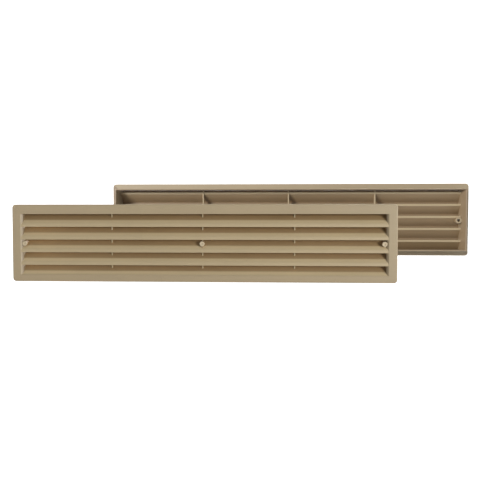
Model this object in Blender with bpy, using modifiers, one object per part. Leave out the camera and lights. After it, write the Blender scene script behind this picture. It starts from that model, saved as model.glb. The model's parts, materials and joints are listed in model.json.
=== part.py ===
"""Door ventilation grille: two louvred halves that meet through a cut-out in a door, and the three
screws that draw them together. The front half lies on the near face of the door, and the rear half
stands behind it, drawn aside and up from its fitted place.

Metres, +Z up. X runs along the grille, and the front half looks along -Y. The origin is on the door
face of the front flange, in the middle of its lower band."""

import math

import bmesh
import bpy
from mathutils import Vector

# Flange, the frame that lies on the door
FLANGE_WIDTH = 0.457
FLANGE_HEIGHT = 0.092
FLANGE_THICKNESS = 0.003
FLANGE_CORNER_RADIUS = 0.004
FLANGE_EDGE_ROUNDING = 0.0014

# Louvre window in the flange
SIDE_BORDER = 0.0101
TOP_BORDER = 0.0115
BOTTOM_BORDER = 0.0083
END_CHAMFER = 0.0026
END_CHAMFER_DEPTH = 0.0022
SLOT_COUNT = 5
LIP_HEIGHT = 0.0038
LIP_THICKNESS = 0.0016
LIP_RECESS = 0.0003
LIP_ROUNDING = 0.0005
BLADE_DEPTH = 0.0114
BLADE_THICKNESS = 0.0018
BLADE_OVERLAP = 0.0008

# Sleeve that enters the cut-out in the door
DOOR_THICKNESS = 0.040
SLEEVE_OVERHANG = 0.0065
SLEEVE_WALL = 0.0020
SLEEVE_DRAFT = 0.0003
SLEEVE_CORNER_RADIUS = 0.0015
END_WALL_STRAIGHT = 0.0090
RIM_GAP = 0.0006

# Upright ribs that tie the blades together
RIB_COUNT = 3
RIB_THICKNESS = 0.0015
RIB_SETBACK = 0.0069
RIB_PROUD = 0.0008

# Screw posts
POST_INSET = 0.0148
POST_DROP = 0.0007
POST_FACE_DIAMETER = 0.0060
POST_ROOT_DIAMETER = 0.0078
POST_EDGE_ROUNDING = 0.0004
POST_PROUD = 0.0016
POST_WEB = 0.0012
PILOT_FLOOR = 0.0030
DIMPLE_DIAMETER = 0.0018
DIMPLE_DEPTH = 0.0005

# Screws
SCREW_LENGTH = 0.040
SCREW_DIAMETER = 0.0035
SCREW_CLEARANCE = 0.0001
HEAD_DIAMETER = 0.0066
HEAD_RIM = 0.0003
HEAD_SINK = 0.0002
HEAD_CLEARANCE = 0.0001
POINT_LENGTH = 0.0045
RECESS_WIDTH = 0.0034
RECESS_SLOT = 0.0009
RECESS_DEPTH = 0.0016
PARKED_TIP_DEPTH = 0.0030

# Place of the rear half, counted from its fitted place
REST_ASIDE = 0.1031
REST_BACK = 0.0356
REST_UP = 0.0274

# Facets and overlaps of joined shapes
ROUND_SIDES = 24
CORNER_SEGMENTS = 5
EDGE_SEGMENTS = 3
OVERLAP = 0.001

# Sizes that follow from the ones above. Y is counted from the door face, and the face is at -Y.
HALF_WIDTH = FLANGE_WIDTH / 2
HALF_HEIGHT = FLANGE_HEIGHT / 2
WINDOW_HALF_WIDTH = HALF_WIDTH - SIDE_BORDER
WINDOW_TOP = HALF_HEIGHT - TOP_BORDER
WINDOW_BOTTOM = BOTTOM_BORDER - HALF_HEIGHT
SLOT_HEIGHT = (WINDOW_TOP - WINDOW_BOTTOM - (SLOT_COUNT - 1) * LIP_HEIGHT) / SLOT_COUNT
SLOT_PITCH = SLOT_HEIGHT + LIP_HEIGHT
END_WALL_X = WINDOW_HALF_WIDTH - END_CHAMFER
SLEEVE_HALF_WIDTH = HALF_WIDTH - SLEEVE_OVERHANG
SLEEVE_HALF_HEIGHT = HALF_HEIGHT - SLEEVE_OVERHANG
SLEEVE_DEPTH = (DOOR_THICKNESS - RIM_GAP) / 2
MID_WALL_X = SLEEVE_HALF_WIDTH - SLEEVE_WALL / 2
MID_WALL_Z = SLEEVE_HALF_HEIGHT - SLEEVE_WALL / 2
RIM_INNER_X = SLEEVE_HALF_WIDTH - SLEEVE_DRAFT - SLEEVE_WALL
FACE_Y = -FLANGE_THICKNESS
LIP_Y = FACE_Y + LIP_RECESS
BLADE_REAR_Y = FACE_Y + BLADE_DEPTH
BLADE_RISE = (SLOT_HEIGHT + BLADE_OVERLAP) / (BLADE_REAR_Y - LIP_Y)
BLADE_DROP = BLADE_THICKNESS * math.hypot(1, BLADE_RISE)
RIB_FRONT_Y = FACE_Y + RIB_SETBACK
RIB_REAR_Y = BLADE_REAR_Y + RIB_PROUD
POST_END_Y = RIB_REAR_Y + POST_PROUD
POST_X = HALF_WIDTH - POST_INSET
BORE_RADIUS = SCREW_DIAMETER / 2 + SCREW_CLEARANCE
HEAD_CONE = (HEAD_DIAMETER - SCREW_DIAMETER) / 2
CENTRE_Z = HALF_HEIGHT - SLEEVE_OVERHANG / 2

COLOURS = {
    "front_plastic": (0.392, 0.318, 0.215, 1.0),
    "rear_plastic": (0.352, 0.280, 0.185, 1.0),
    "zinc": (0.62, 0.61, 0.58, 1.0),
}


def clear_scene():
    for obj in list(bpy.data.objects):
        bpy.data.objects.remove(obj, do_unlink=True)


def new_collection(name):
    collection = bpy.data.collections.new(name)
    bpy.context.scene.collection.children.link(collection)
    return collection


def material(name, roughness, metallic):
    made = bpy.data.materials.new(name)
    made.use_nodes = True
    shader = made.node_tree.nodes["Principled BSDF"]
    shader.inputs["Base Color"].default_value = COLOURS[name]
    shader.inputs["Roughness"].default_value = roughness
    shader.inputs["Metallic"].default_value = metallic
    made.diffuse_color = COLOURS[name]
    return made


def empty(name, location, collection):
    obj = bpy.data.objects.new(name, None)
    obj.location = location
    collection.objects.link(obj)
    return obj


def link_mesh(name, bm, collection):
    """Puts the bmesh into a new object, with its faces turned outwards."""
    bmesh.ops.recalc_face_normals(bm, faces=bm.faces)
    mesh = bpy.data.meshes.new(name)
    bm.to_mesh(mesh)
    bm.free()
    obj = bpy.data.objects.new(name, mesh)
    collection.objects.link(obj)
    return obj


def hide_helper(obj, parent):
    obj.parent = parent
    obj.hide_render = True
    obj.display_type = "WIRE"
    return obj


def add_block(bm, low, high):
    """Adds a box between two corners and returns its vertices."""
    low = Vector(low)
    high = Vector(high)
    verts = bmesh.ops.create_cube(bm, size=1.0)["verts"]
    bmesh.ops.scale(bm, vec=high - low, verts=verts)
    bmesh.ops.translate(bm, vec=(low + high) / 2, verts=verts)
    return verts


def add_prism(bm, outline, axis, low, high):
    """Adds an outline drawn out along one axis. Its two numbers are the other axes, in order."""
    verts = []
    for pair in outline:
        point = list(pair)
        point.insert(axis, low)
        verts.append(bm.verts.new(point))
    drawn = bmesh.ops.extrude_face_region(bm, geom=[bm.faces.new(verts)])
    far = [item for item in drawn["geom"] if isinstance(item, bmesh.types.BMVert)]
    way = [0, 0, 0]
    way[axis] = high - low
    bmesh.ops.translate(bm, vec=way, verts=far)


def add_round_y(bm, x, z, y_low, y_high, radius_low, radius_high):
    """Adds a round bar along Y, from radius_low at y_low to radius_high at y_high."""
    made = bmesh.ops.create_cone(
        bm,
        cap_ends=True,
        segments=ROUND_SIDES,
        radius1=radius_high,
        radius2=radius_low,
        depth=y_high - y_low,
    )
    verts = made["verts"]
    for vert in verts:
        vert.co = Vector((vert.co.x + x, (y_low + y_high) / 2 - vert.co.z, vert.co.y + z))
    return verts


def edges_along(bm, axis):
    """Edges that run along one axis."""
    found = []
    for edge in bm.edges:
        run = (edge.verts[0].co - edge.verts[1].co).normalized()
        if abs(run[axis]) > 0.999:
            found.append(edge)
    return found


def edges_at_y(bm, y):
    """Edges that lie in the plane across Y at this depth."""
    return [edge for edge in bm.edges if all(abs(vert.co.y - y) < 1e-7 for vert in edge.verts)]


def round_edges(bm, edges, radius, segments):
    bmesh.ops.bevel(
        bm, geom=edges, offset=radius, segments=segments, profile=0.5, affect="EDGES"
    )


def boolean(obj, helper, operation):
    modifier = obj.modifiers.new(helper.name, "BOOLEAN")
    modifier.operation = operation
    modifier.object = helper
    modifier.solver = "EXACT"


def flange_slab(name, collection):
    """The flange as a slab with round corners and a rounded edge round its face."""
    bm = bmesh.new()
    add_block(bm, (-HALF_WIDTH, FACE_Y, -HALF_HEIGHT), (HALF_WIDTH, 0, HALF_HEIGHT))
    round_edges(bm, edges_along(bm, 1), FLANGE_CORNER_RADIUS, CORNER_SEGMENTS)
    round_edges(bm, edges_at_y(bm, FACE_Y), FLANGE_EDGE_ROUNDING, EDGE_SEGMENTS)
    return link_mesh(name, bm, collection)


def sleeve_block(name, collection):
    """The sleeve's outside as one block, drawn in a little towards its rim."""
    bm = bmesh.new()
    verts = add_block(
        bm,
        (-SLEEVE_HALF_WIDTH, -OVERLAP, -SLEEVE_HALF_HEIGHT),
        (SLEEVE_HALF_WIDTH, SLEEVE_DEPTH, SLEEVE_HALF_HEIGHT),
    )
    for vert in verts:
        if vert.co.y > 0:
            vert.co.x -= math.copysign(SLEEVE_DRAFT, vert.co.x)
            vert.co.z -= math.copysign(SLEEVE_DRAFT, vert.co.z)
    round_edges(bm, edges_along(bm, 1), SLEEVE_CORNER_RADIUS, EDGE_SEGMENTS)
    return link_mesh(name, bm, collection)


def hollow_block(name, collection):
    """The space inside the sleeve, open at the rim. Its end walls are straight beside the blades
    and flare out from there to the rim."""
    inner_z = SLEEVE_HALF_HEIGHT - SLEEVE_WALL
    flare_y = FACE_Y + END_WALL_STRAIGHT
    right = [
        (END_WALL_X, 0),
        (END_WALL_X, flare_y),
        (RIM_INNER_X, SLEEVE_DEPTH),
        (RIM_INNER_X, SLEEVE_DEPTH + OVERLAP),
    ]
    left = [(-x, y) for x, y in reversed(right)]
    bm = bmesh.new()
    add_prism(bm, right + left, 2, -inner_z, inner_z)
    return link_mesh(name, bm, collection)


def window_block(name, collection):
    """The opening in the flange that the blades cross, with chamfered ends."""
    right = [
        (WINDOW_HALF_WIDTH, FACE_Y - OVERLAP),
        (WINDOW_HALF_WIDTH, FACE_Y),
        (END_WALL_X, FACE_Y + END_CHAMFER_DEPTH),
        (END_WALL_X, OVERLAP),
    ]
    left = [(-x, y) for x, y in reversed(right)]
    bm = bmesh.new()
    add_prism(bm, right + left, 2, WINDOW_BOTTOM, WINDOW_TOP)
    return link_mesh(name, bm, collection)


def blade_profile(slot_bottom):
    """Outline across one blade, as (y, z): an upright lip at the face, with a plate of even
    thickness that rises from the top of the lip to just above the top of its slot, so that nobody
    can look through. What would pass below the sleeve's lower wall stops inside that wall."""
    lip_back = LIP_Y + LIP_THICKNESS
    rear_top = slot_bottom + SLOT_HEIGHT + BLADE_OVERLAP
    outline = [
        (LIP_Y, slot_bottom),
        (LIP_Y, slot_bottom - LIP_HEIGHT),
        (lip_back, slot_bottom - LIP_HEIGHT),
        (lip_back, slot_bottom + BLADE_RISE * LIP_THICKNESS - BLADE_DROP),
        (BLADE_REAR_Y, rear_top - BLADE_DROP),
        (BLADE_REAR_Y, rear_top),
    ]
    return [(y, max(z, -MID_WALL_Z)) for y, z in outline]


def add_blade(bm, slot_bottom):
    """Adds one blade, its outline drawn along X into the walls at both ends."""
    add_prism(bm, blade_profile(slot_bottom), 0, -MID_WALL_X, MID_WALL_X)
    lip_edges = [
        edge
        for edge in edges_along(bm, 0)
        if all(abs(vert.co.y - LIP_Y) < 1e-7 for vert in edge.verts)
        and slot_bottom - LIP_HEIGHT - 1e-7 < edge.verts[0].co.z < slot_bottom + 1e-7
    ]
    round_edges(bm, lip_edges, LIP_ROUNDING, 2)


def blades(name, collection):
    bm = bmesh.new()
    for index in range(SLOT_COUNT):
        add_blade(bm, WINDOW_TOP - SLOT_HEIGHT - index * SLOT_PITCH)
    return link_mesh(name, bm, collection)


def rib_places():
    """X of each rib: they divide the window into equal bays."""
    bay = 2 * WINDOW_HALF_WIDTH / (RIB_COUNT + 1)
    return [bay * (index + 1) - WINDOW_HALF_WIDTH for index in range(RIB_COUNT)]


def ribs(name, collection):
    bm = bmesh.new()
    for x in rib_places():
        add_block(
            bm,
            (x - RIB_THICKNESS / 2, RIB_FRONT_Y, -MID_WALL_Z),
            (x + RIB_THICKNESS / 2, RIB_REAR_Y, MID_WALL_Z),
        )
    return link_mesh(name, bm, collection)


def post_web(name, collection):
    """A thin gusset under the middle post, between it and the blade below. Its lower edge runs
    inside that blade."""
    lip_back = LIP_Y + LIP_THICKNESS
    slot_bottom = WINDOW_TOP - SLOT_HEIGHT - SLOT_COUNT // 2 * SLOT_PITCH
    mid_blade = slot_bottom + BLADE_RISE * LIP_THICKNESS - BLADE_DROP / 2
    meeting_y = lip_back + (-POST_DROP - mid_blade) / BLADE_RISE
    bm = bmesh.new()
    outline = [(lip_back, -POST_DROP), (lip_back, mid_blade), (meeting_y, -POST_DROP)]
    add_prism(bm, outline, 0, -POST_WEB / 2, POST_WEB / 2)
    return link_mesh(name, bm, collection)


def posts(name, face_diameter, collection):
    """The three posts, wider at the inner end, with the edge round the face rounded. The outer two
    stand half inside the end walls."""
    bm = bmesh.new()
    for x in (-POST_X, 0, POST_X):
        add_round_y(
            bm, x, -POST_DROP, LIP_Y, POST_END_Y, face_diameter / 2, POST_ROOT_DIAMETER / 2
        )
    round_edges(bm, edges_at_y(bm, LIP_Y), POST_EDGE_ROUNDING, 2)
    return link_mesh(name, bm, collection)


def blind_holes(name, collection):
    """For the front half: a pilot hole up each post from its inner end, and a dimple in its face."""
    bm = bmesh.new()
    for x in (-POST_X, 0, POST_X):
        add_round_y(
            bm, x, -POST_DROP, LIP_Y + PILOT_FLOOR, POST_END_Y + OVERLAP, BORE_RADIUS, BORE_RADIUS
        )
        tip = DIMPLE_DIAMETER / 8
        add_round_y(
            bm, x, -POST_DROP, LIP_Y - DIMPLE_DEPTH, LIP_Y + DIMPLE_DEPTH, DIMPLE_DIAMETER - tip, tip
        )
    return link_mesh(name, bm, collection)


def through_holes(name, collection):
    """For the rear half: a clearance hole along each post, with a countersink for the head."""
    bm = bmesh.new()
    head_radius = HEAD_DIAMETER / 2 + HEAD_CLEARANCE
    seat = LIP_Y + HEAD_SINK + HEAD_RIM
    for x in (-POST_X, 0, POST_X):
        points = [
            (0, LIP_Y - OVERLAP),
            (head_radius, LIP_Y - OVERLAP),
            (head_radius, seat),
            (BORE_RADIUS, seat + head_radius - BORE_RADIUS),
            (BORE_RADIUS, POST_END_Y + OVERLAP),
            (0, POST_END_Y + OVERLAP),
        ]
        verts = [bm.verts.new((x + radius, y, -POST_DROP)) for radius, y in points]
        edges = [bm.edges.new(pair) for pair in zip(verts, verts[1:])]
        bmesh.ops.spin(
            bm,
            geom=verts + edges,
            cent=(x, 0, -POST_DROP),
            axis=(0, 1, 0),
            angle=2 * math.pi,
            steps=ROUND_SIDES,
        )
    bmesh.ops.remove_doubles(bm, verts=bm.verts, dist=1e-6)
    return link_mesh(name, bm, collection)


def grille_half(name, finish, is_front, parent, collection, helpers):
    """One moulded half, built round its own centre with its face towards -Y."""
    half = flange_slab(name, collection)
    half.parent = parent
    half.data.materials.append(finish)
    face_diameter = POST_FACE_DIAMETER if is_front else POST_ROOT_DIAMETER
    holes = blind_holes if is_front else through_holes
    steps = [
        (sleeve_block(name + "_sleeve", helpers), "UNION"),
        (hollow_block(name + "_hollow", helpers), "DIFFERENCE"),
        (window_block(name + "_window", helpers), "DIFFERENCE"),
        (blades(name + "_blades", helpers), "UNION"),
        (ribs(name + "_ribs", helpers), "UNION"),
        (post_web(name + "_web", helpers), "UNION"),
        (posts(name + "_posts", face_diameter, helpers), "UNION"),
        (holes(name + "_holes", helpers), "DIFFERENCE"),
    ]
    for helper, operation in steps:
        boolean(half, hide_helper(helper, half), operation)
    return half


def screw_mesh(collection, helpers):
    """Countersunk screw about its own Z: head at the top, with a cross recess, and a point below.
    The shank is as wide as its thread."""
    head_radius = HEAD_DIAMETER / 2
    shank_radius = SCREW_DIAMETER / 2
    points = [
        (0, 0),
        (head_radius, 0),
        (head_radius, -HEAD_RIM),
        (shank_radius, -HEAD_RIM - HEAD_CONE),
        (shank_radius, POINT_LENGTH - SCREW_LENGTH),
        (0, -SCREW_LENGTH),
    ]
    bm = bmesh.new()
    verts = [bm.verts.new((radius, 0, z)) for radius, z in points]
    for pair in zip(verts, verts[1:]):
        bm.edges.new(pair)
    mesh = bpy.data.meshes.new("screw_profile")
    bm.to_mesh(mesh)
    bm.free()
    pattern = bpy.data.objects.new("screw_pattern", mesh)
    collection.objects.link(pattern)
    turn = pattern.modifiers.new("turn", "SCREW")
    turn.axis = "Z"
    turn.steps = ROUND_SIDES
    turn.render_steps = ROUND_SIDES
    turn.use_merge_vertices = True
    turn.merge_threshold = 0.00001

    for name, across_x, across_y in (
        ("recess_x", RECESS_WIDTH, RECESS_SLOT),
        ("recess_y", RECESS_SLOT, RECESS_WIDTH),
    ):
        bm = bmesh.new()
        low = (-across_x / 2, -across_y / 2, -RECESS_DEPTH)
        verts = add_block(bm, low, (across_x / 2, across_y / 2, RECESS_DEPTH))
        for vert in verts:
            if vert.co.z < 0:
                vert.co.x = math.copysign(RECESS_SLOT / 2, vert.co.x)
                vert.co.y = math.copysign(RECESS_SLOT / 2, vert.co.y)
        recess = link_mesh(name, bm, helpers)
        recess.hide_render = True
        recess.display_type = "WIRE"
        boolean(pattern, recess, "DIFFERENCE")

    bpy.context.view_layer.update()
    graph = bpy.context.evaluated_depsgraph_get()
    made = bpy.data.meshes.new_from_object(pattern.evaluated_get(graph))
    made.name = "screw"
    bpy.data.objects.remove(pattern)
    bpy.data.meshes.remove(mesh)
    return made


def shade(obj, degrees):
    obj.data.shade_smooth()
    obj.data.set_sharp_from_angle(angle=math.radians(degrees))


def build():
    clear_scene()
    parts = new_collection("door_vent_grille")
    helpers = new_collection("cutters")
    front_plastic = material("front_plastic", 0.48, 0.0)
    rear_plastic = material("rear_plastic", 0.48, 0.0)
    zinc = material("zinc", 0.32, 1.0)

    front_place = empty("front_half", (0, 0, CENTRE_Z), parts)
    rear_place = empty(
        "rear_half", (REST_ASIDE, DOOR_THICKNESS + REST_BACK, CENTRE_Z + REST_UP), parts
    )
    front = grille_half("front_grille", front_plastic, True, front_place, parts, helpers)
    rear = grille_half("rear_grille", rear_plastic, False, rear_place, parts, helpers)
    rear.rotation_euler.z = math.pi
    shade(front, 30)
    shade(rear, 30)

    mesh = screw_mesh(parts, helpers)
    mesh.materials.append(zinc)
    mesh.shade_smooth()
    mesh.set_sharp_from_angle(angle=math.radians(30))
    tip_y = PARKED_TIP_DEPTH - POST_END_Y
    for name, x in (("screw_left", -POST_X), ("screw_centre", 0), ("screw_right", POST_X)):
        screw = bpy.data.objects.new(name, mesh)
        screw.parent = rear_place
        screw.location = (x, tip_y + SCREW_LENGTH, -POST_DROP)
        screw.rotation_euler.x = -math.pi / 2
        parts.objects.link(screw)


build()
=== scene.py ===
"""Looks of a two-part door ventilation grille: two louvred halves in beige moulded plastic and the
three zinc-plated screws that join them. Metres, +Z up. Each half is worked out round its own
centre, with Y counted from its door face and its outer face towards -Y, and is then placed."""

import json
import math

import bmesh
import bpy
import numpy as np
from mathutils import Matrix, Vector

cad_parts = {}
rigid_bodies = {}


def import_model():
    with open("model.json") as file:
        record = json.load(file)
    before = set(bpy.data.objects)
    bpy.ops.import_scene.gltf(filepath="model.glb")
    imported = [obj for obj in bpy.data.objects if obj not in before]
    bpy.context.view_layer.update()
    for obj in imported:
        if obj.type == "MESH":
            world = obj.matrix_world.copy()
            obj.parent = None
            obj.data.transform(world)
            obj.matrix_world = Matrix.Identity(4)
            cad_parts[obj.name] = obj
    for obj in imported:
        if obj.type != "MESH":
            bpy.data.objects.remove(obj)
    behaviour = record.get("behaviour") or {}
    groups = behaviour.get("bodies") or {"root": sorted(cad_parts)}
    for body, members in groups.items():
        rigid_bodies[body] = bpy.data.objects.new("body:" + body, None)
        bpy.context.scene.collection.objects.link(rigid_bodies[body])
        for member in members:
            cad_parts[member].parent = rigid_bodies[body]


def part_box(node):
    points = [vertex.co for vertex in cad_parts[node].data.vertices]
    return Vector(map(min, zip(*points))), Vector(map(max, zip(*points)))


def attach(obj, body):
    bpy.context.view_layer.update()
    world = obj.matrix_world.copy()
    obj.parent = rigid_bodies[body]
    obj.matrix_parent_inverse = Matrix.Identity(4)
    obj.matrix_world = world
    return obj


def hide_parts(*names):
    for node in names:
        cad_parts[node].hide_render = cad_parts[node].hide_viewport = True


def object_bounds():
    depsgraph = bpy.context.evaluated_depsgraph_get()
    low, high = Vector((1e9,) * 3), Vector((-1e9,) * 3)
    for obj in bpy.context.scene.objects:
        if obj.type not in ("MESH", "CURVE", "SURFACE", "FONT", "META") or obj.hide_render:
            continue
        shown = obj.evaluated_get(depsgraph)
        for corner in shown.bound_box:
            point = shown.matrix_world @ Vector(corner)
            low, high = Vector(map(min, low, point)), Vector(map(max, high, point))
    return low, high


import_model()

bl_info = {
    "name": "Door Ventilation Grille",
    "version": (1, 0, 0),
    "blender": (4, 5, 0),
    "location": "View3D > Sidebar > Grille",
    "description": "Builds a two-part louvred door grille with its screws and a plain studio",
    "category": "Add Mesh",
}

CAD_LOW, CAD_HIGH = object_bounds()
FRONT_LOW, FRONT_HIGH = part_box("front_grille")
REAR_LOW, REAR_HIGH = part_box("rear_grille")
SCREW_LOW, SCREW_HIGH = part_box("screw_centre")
HALVES = ("front", "rear")
SCREWS = ("left", "centre", "right")

# Fine sizes of the posts. The dimple is (radius, depth) from its middle to its edge, and the
# pilot floor and the seat are counted from the posts' outer faces.
DIMPLE = ((0.0, 0.0005), (0.00025, 0.00047), (0.0007, 0.00015), (0.0009, 0.0))
POST_EDGE = 0.0004
PILOT_FLOOR = 0.003
PILOT_POINT = 0.0006
SEAT = 0.0005
HEAD_CLEARANCE = 0.0001
POST_SIDES = 48
SMOOTH_BELOW = math.radians(42)


def length(name, description, default):
    return bpy.props.FloatProperty(
        name=name, description=description, default=default, min=0.0, precision=5, unit="LENGTH"
    )


def share(name, description, default):
    return bpy.props.FloatProperty(
        name=name, description=description, default=default, min=0.0, max=1.0, subtype="FACTOR"
    )


def power(name, description, default):
    return bpy.props.FloatProperty(
        name=name, description=description, default=default, min=0.0, unit="POWER"
    )


def turned_by(name, description, degrees):
    return bpy.props.FloatProperty(
        name=name, description=description, default=math.radians(degrees), subtype="ANGLE"
    )


def colour(name, description, default):
    return bpy.props.FloatVectorProperty(
        name=name, description=description, default=default, min=0.0, max=1.0, subtype="COLOR"
    )


class GrilleFrameSizes(bpy.types.PropertyGroup):
    """Flange, window and sleeve of one half"""

    width: length("Flange width", "Along the grille", FRONT_HIGH.x - FRONT_LOW.x)
    height: length("Flange height", "Across the grille", FRONT_HIGH.z - FRONT_LOW.z)
    thickness: length("Flange thickness", "From the face to the door", 0.003)
    corner: length("Corner radius", "Round corners of the flange", 0.004)
    edge: length("Edge rounding", "Rounding between face and edge", 0.0014)
    side_border: length("Side border", "Flange edge to window, at the ends", 0.0101)
    top_border: length("Top border", "Flange edge to window, above", 0.0115)
    bottom_border: length("Bottom border", "Flange edge to window, below", 0.0083)
    chamfer: length("End chamfer", "Width of the slope at both ends of the window", 0.0026)
    chamfer_depth: length("End chamfer depth", "Depth of that slope", 0.0022)
    straight: length("Straight end wall", "Face to where the end walls flare out", 0.009)
    overhang: length("Overhang", "How far the flange stands past the sleeve", 0.0065)
    wall: length("Sleeve wall", "Thickness of the sleeve", 0.002)
    draft: length("Draft", "How much the sleeve narrows towards its rim", 0.0003)
    depth: length("Sleeve depth", "Door face to rim", FRONT_HIGH.y - FRONT_LOW.y - 0.003)
    small_round: length("Small rounding", "Rounding of the moulding's fine edges", 0.0003)


class GrilleLouvreSizes(bpy.types.PropertyGroup):
    """Blades, ribs and screw posts"""

    slots: bpy.props.IntProperty(name="Slots", description="Open slots", default=5, min=1)
    lip: length("Lip height", "Front edge of each blade", 0.0038)
    lip_thickness: length("Lip thickness", "Front to back of the lip", 0.0016)
    lip_recess: length("Lip recess", "Lip behind the flange's face", 0.0003)
    lip_round: length("Lip rounding", "Rounding of the lip's lower edge", 0.0004)
    lip_nose: length("Lip nose", "Rounding between the lip and its blade", 0.006)
    blade_depth: length("Blade depth", "Face to the blade's rear edge", 0.0114)
    blade_thickness: length("Blade thickness", "Measured square to the blade", 0.0018)
    blade_overlap: length("Blade overlap", "Rear edge above the top of the slot", 0.0012)
    ribs: bpy.props.IntProperty(name="Ribs", description="Upright ribs", default=3, min=0)
    rib_thickness: length("Rib thickness", "Along the grille", 0.0015)
    rib_setback: length("Rib setback", "Face to the rib's front edge", 0.0069)
    rib_proud: length("Rib proud", "Rib past the blades' rear edges", 0.0008)
    post_inset: length("Post inset", "Flange end to the end posts", 0.0148)
    post_drop: length("Post drop", "Posts below the middle", 0.0007)
    post_face: length("Post face", "Diameter of a front post's face", 0.006)
    post_root: length("Post root", "Diameter at the inner end", 0.0078)
    post_proud: length("Post proud", "Post past the ribs' rear edges", 0.0016)
    web: length("Web", "Thickness of the web under the middle post", 0.0012)
    bore: length("Bore", "Diameter of the holes in the posts", 0.0037)


class GrilleScrewSizes(bpy.types.PropertyGroup):
    """The three countersunk screws"""

    shank: length("Thread diameter", "Over the thread's crests", 0.0035)
    root: length("Core diameter", "At the thread's root", 0.0025)
    pitch: length("Pitch", "One turn of the thread", 0.0014)
    plain: length("Plain neck", "Unthreaded length below the head", 0.0035)
    head_rim: length("Head rim", "Upright edge of the head", 0.0003)
    point: length("Point", "Length of the tapered point", 0.0045)
    recess: length("Recess", "Reach of the cross recess", 0.0034)
    recess_slot: length("Recess slot", "Width of the cross recess", 0.0009)
    recess_depth: length("Recess depth", "Depth of the cross recess", 0.0016)


class GrilleFinish(bpy.types.PropertyGroup):
    """Colours and surfaces"""

    front_face: colour("Front face", "Flange of the front half", (0.328, 0.253, 0.146))
    # Painted shade: the inside of the front sleeve darker than its face.
    front_wall_shade: colour("Front walls", "Inside of the front sleeve", (0.215, 0.16, 0.09))
    # Painted highlight: the blades' front edges and lips lighter than the face.
    front_edge_highlight: colour("Front edges", "Wiped front edges of the blades", (0.475, 0.37, 0.209))
    # Painted shade: the blades darker behind their front edges, and darker still at the bottom of
    # the slots.
    front_blade_shade: colour("Front dust", "Blades behind the wiped edges", (0.28, 0.19, 0.092))
    front_deep_shade: colour("Front depth", "Bottom of the slots", (0.255, 0.156, 0.066))
    # A lighter tone on the front posts' faces; their sides get painted shade.
    pin: colour("Pin marks", "Front post faces", (0.465, 0.376, 0.24))
    # The rear half's plastic is a darker copy of the front's: painted shade.
    rear_face_shaded: colour("Rear face", "Flange and rim of the rear half", (0.29, 0.228, 0.14))
    # Painted shade: the inside of the rear sleeve darker than its face.
    rear_wall_shade: colour("Rear walls", "Inside of the rear sleeve", (0.192, 0.134, 0.075))
    # Painted highlight: the blades' rear edges lighter; also painted light on one end wall inside.
    rear_highlight: colour("Rear edges", "Rear edges of the blades", (0.35, 0.272, 0.16))
    # Painted shade on the undersides of the blades, on the ribs and on the post sides inside, and
    # darker still near the outer face.
    rear_under_shade: colour("Rear undersides", "Blades and ribs inside", (0.24, 0.167, 0.088))
    rear_deep_shade: colour("Rear depth", "Blades near the outer face", (0.18, 0.12, 0.06))
    gloss: share("Plastic roughness", "Middle roughness of the plastic", 0.5)
    mottle: share("Mottle", "Strength of the plastic's cloudy tone", 0.07)
    zinc: colour("Zinc", "Bright zinc plate", (0.5, 0.49, 0.46))


class GrilleStage(bpy.types.PropertyGroup):
    """Camera, lamps, floor and backdrop"""

    distance: length("Camera distance", "Lens to the near face of the door", 0.7539)
    aside: length("Camera aside", "Lens to the right of the front half's middle", 0.086)
    above: length("Camera above", "Lens above the front half's middle", 0.0343)
    turn: turned_by("Camera turn", "To the left", 3.13)
    dip: turned_by("Camera dip", "Downwards", 2.3)
    lens: bpy.props.FloatProperty(
        name="Lens", description="Focal length on a 36 mm sensor", default=48.0, unit="CAMERA"
    )
    front_lamp: power("Front lamp", "Power of the lamp on the front half", 75.0)
    front_side: turned_by("Front lamp side", "To the right of the camera's side", 42.0)
    front_rise: turned_by("Front lamp rise", "Above the object", 5.0)
    rear_lamp: power("Rear lamp", "Power of the lamp on the rear half", 128.0)
    rear_side: turned_by("Rear lamp side", "To the left of the camera's side", 45.0)
    rear_rise: turned_by("Rear lamp rise", "Above the object", 15.0)
    lamp_distance: length("Lamp distance", "These lamps to the middle of the object", 3.2)
    lamp_width: length("Lamp width", "Width of these lamps", 0.85)
    lamp_height: length("Lamp height", "Height of these lamps", 0.75)
    back_lamp: power("Back lamp", "Power of the lamp behind the object", 9.0)
    back_side: turned_by("Back lamp side", "To the right of the camera's side", 155.0)
    back_rise: turned_by("Back lamp rise", "Above the object", 24.0)
    back_distance: length("Back lamp distance", "To the middle of the object", 1.3)
    back_width: length("Back lamp width", "Width of the lamp behind", 0.7)
    back_height: length("Back lamp height", "Height of the lamp behind", 0.5)
    sky: share("Sky", "Strength of the even light from all round", 0.33)


def make_mesh(name, parts):
    """Joins (points, faces) parts into one mesh. Doubles at seams and poles are merged and the
    faces are turned outwards."""
    bm = bmesh.new()
    for points, faces in parts:
        mesh = bpy.data.meshes.new(name)
        mesh.from_pydata(points.reshape(-1, 3).tolist(), [], faces)
        bm.from_mesh(mesh)
        bpy.data.meshes.remove(mesh)
    bmesh.ops.remove_doubles(bm, verts=bm.verts, dist=1e-6)
    bmesh.ops.dissolve_degenerate(bm, edges=bm.edges, dist=1e-7)
    bmesh.ops.recalc_face_normals(bm, faces=bm.faces)
    made = bpy.data.meshes.new(name)
    bm.to_mesh(made)
    bm.free()
    made.shade_smooth()
    made.set_sharp_from_angle(angle=SMOOTH_BELOW)
    return made


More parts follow.
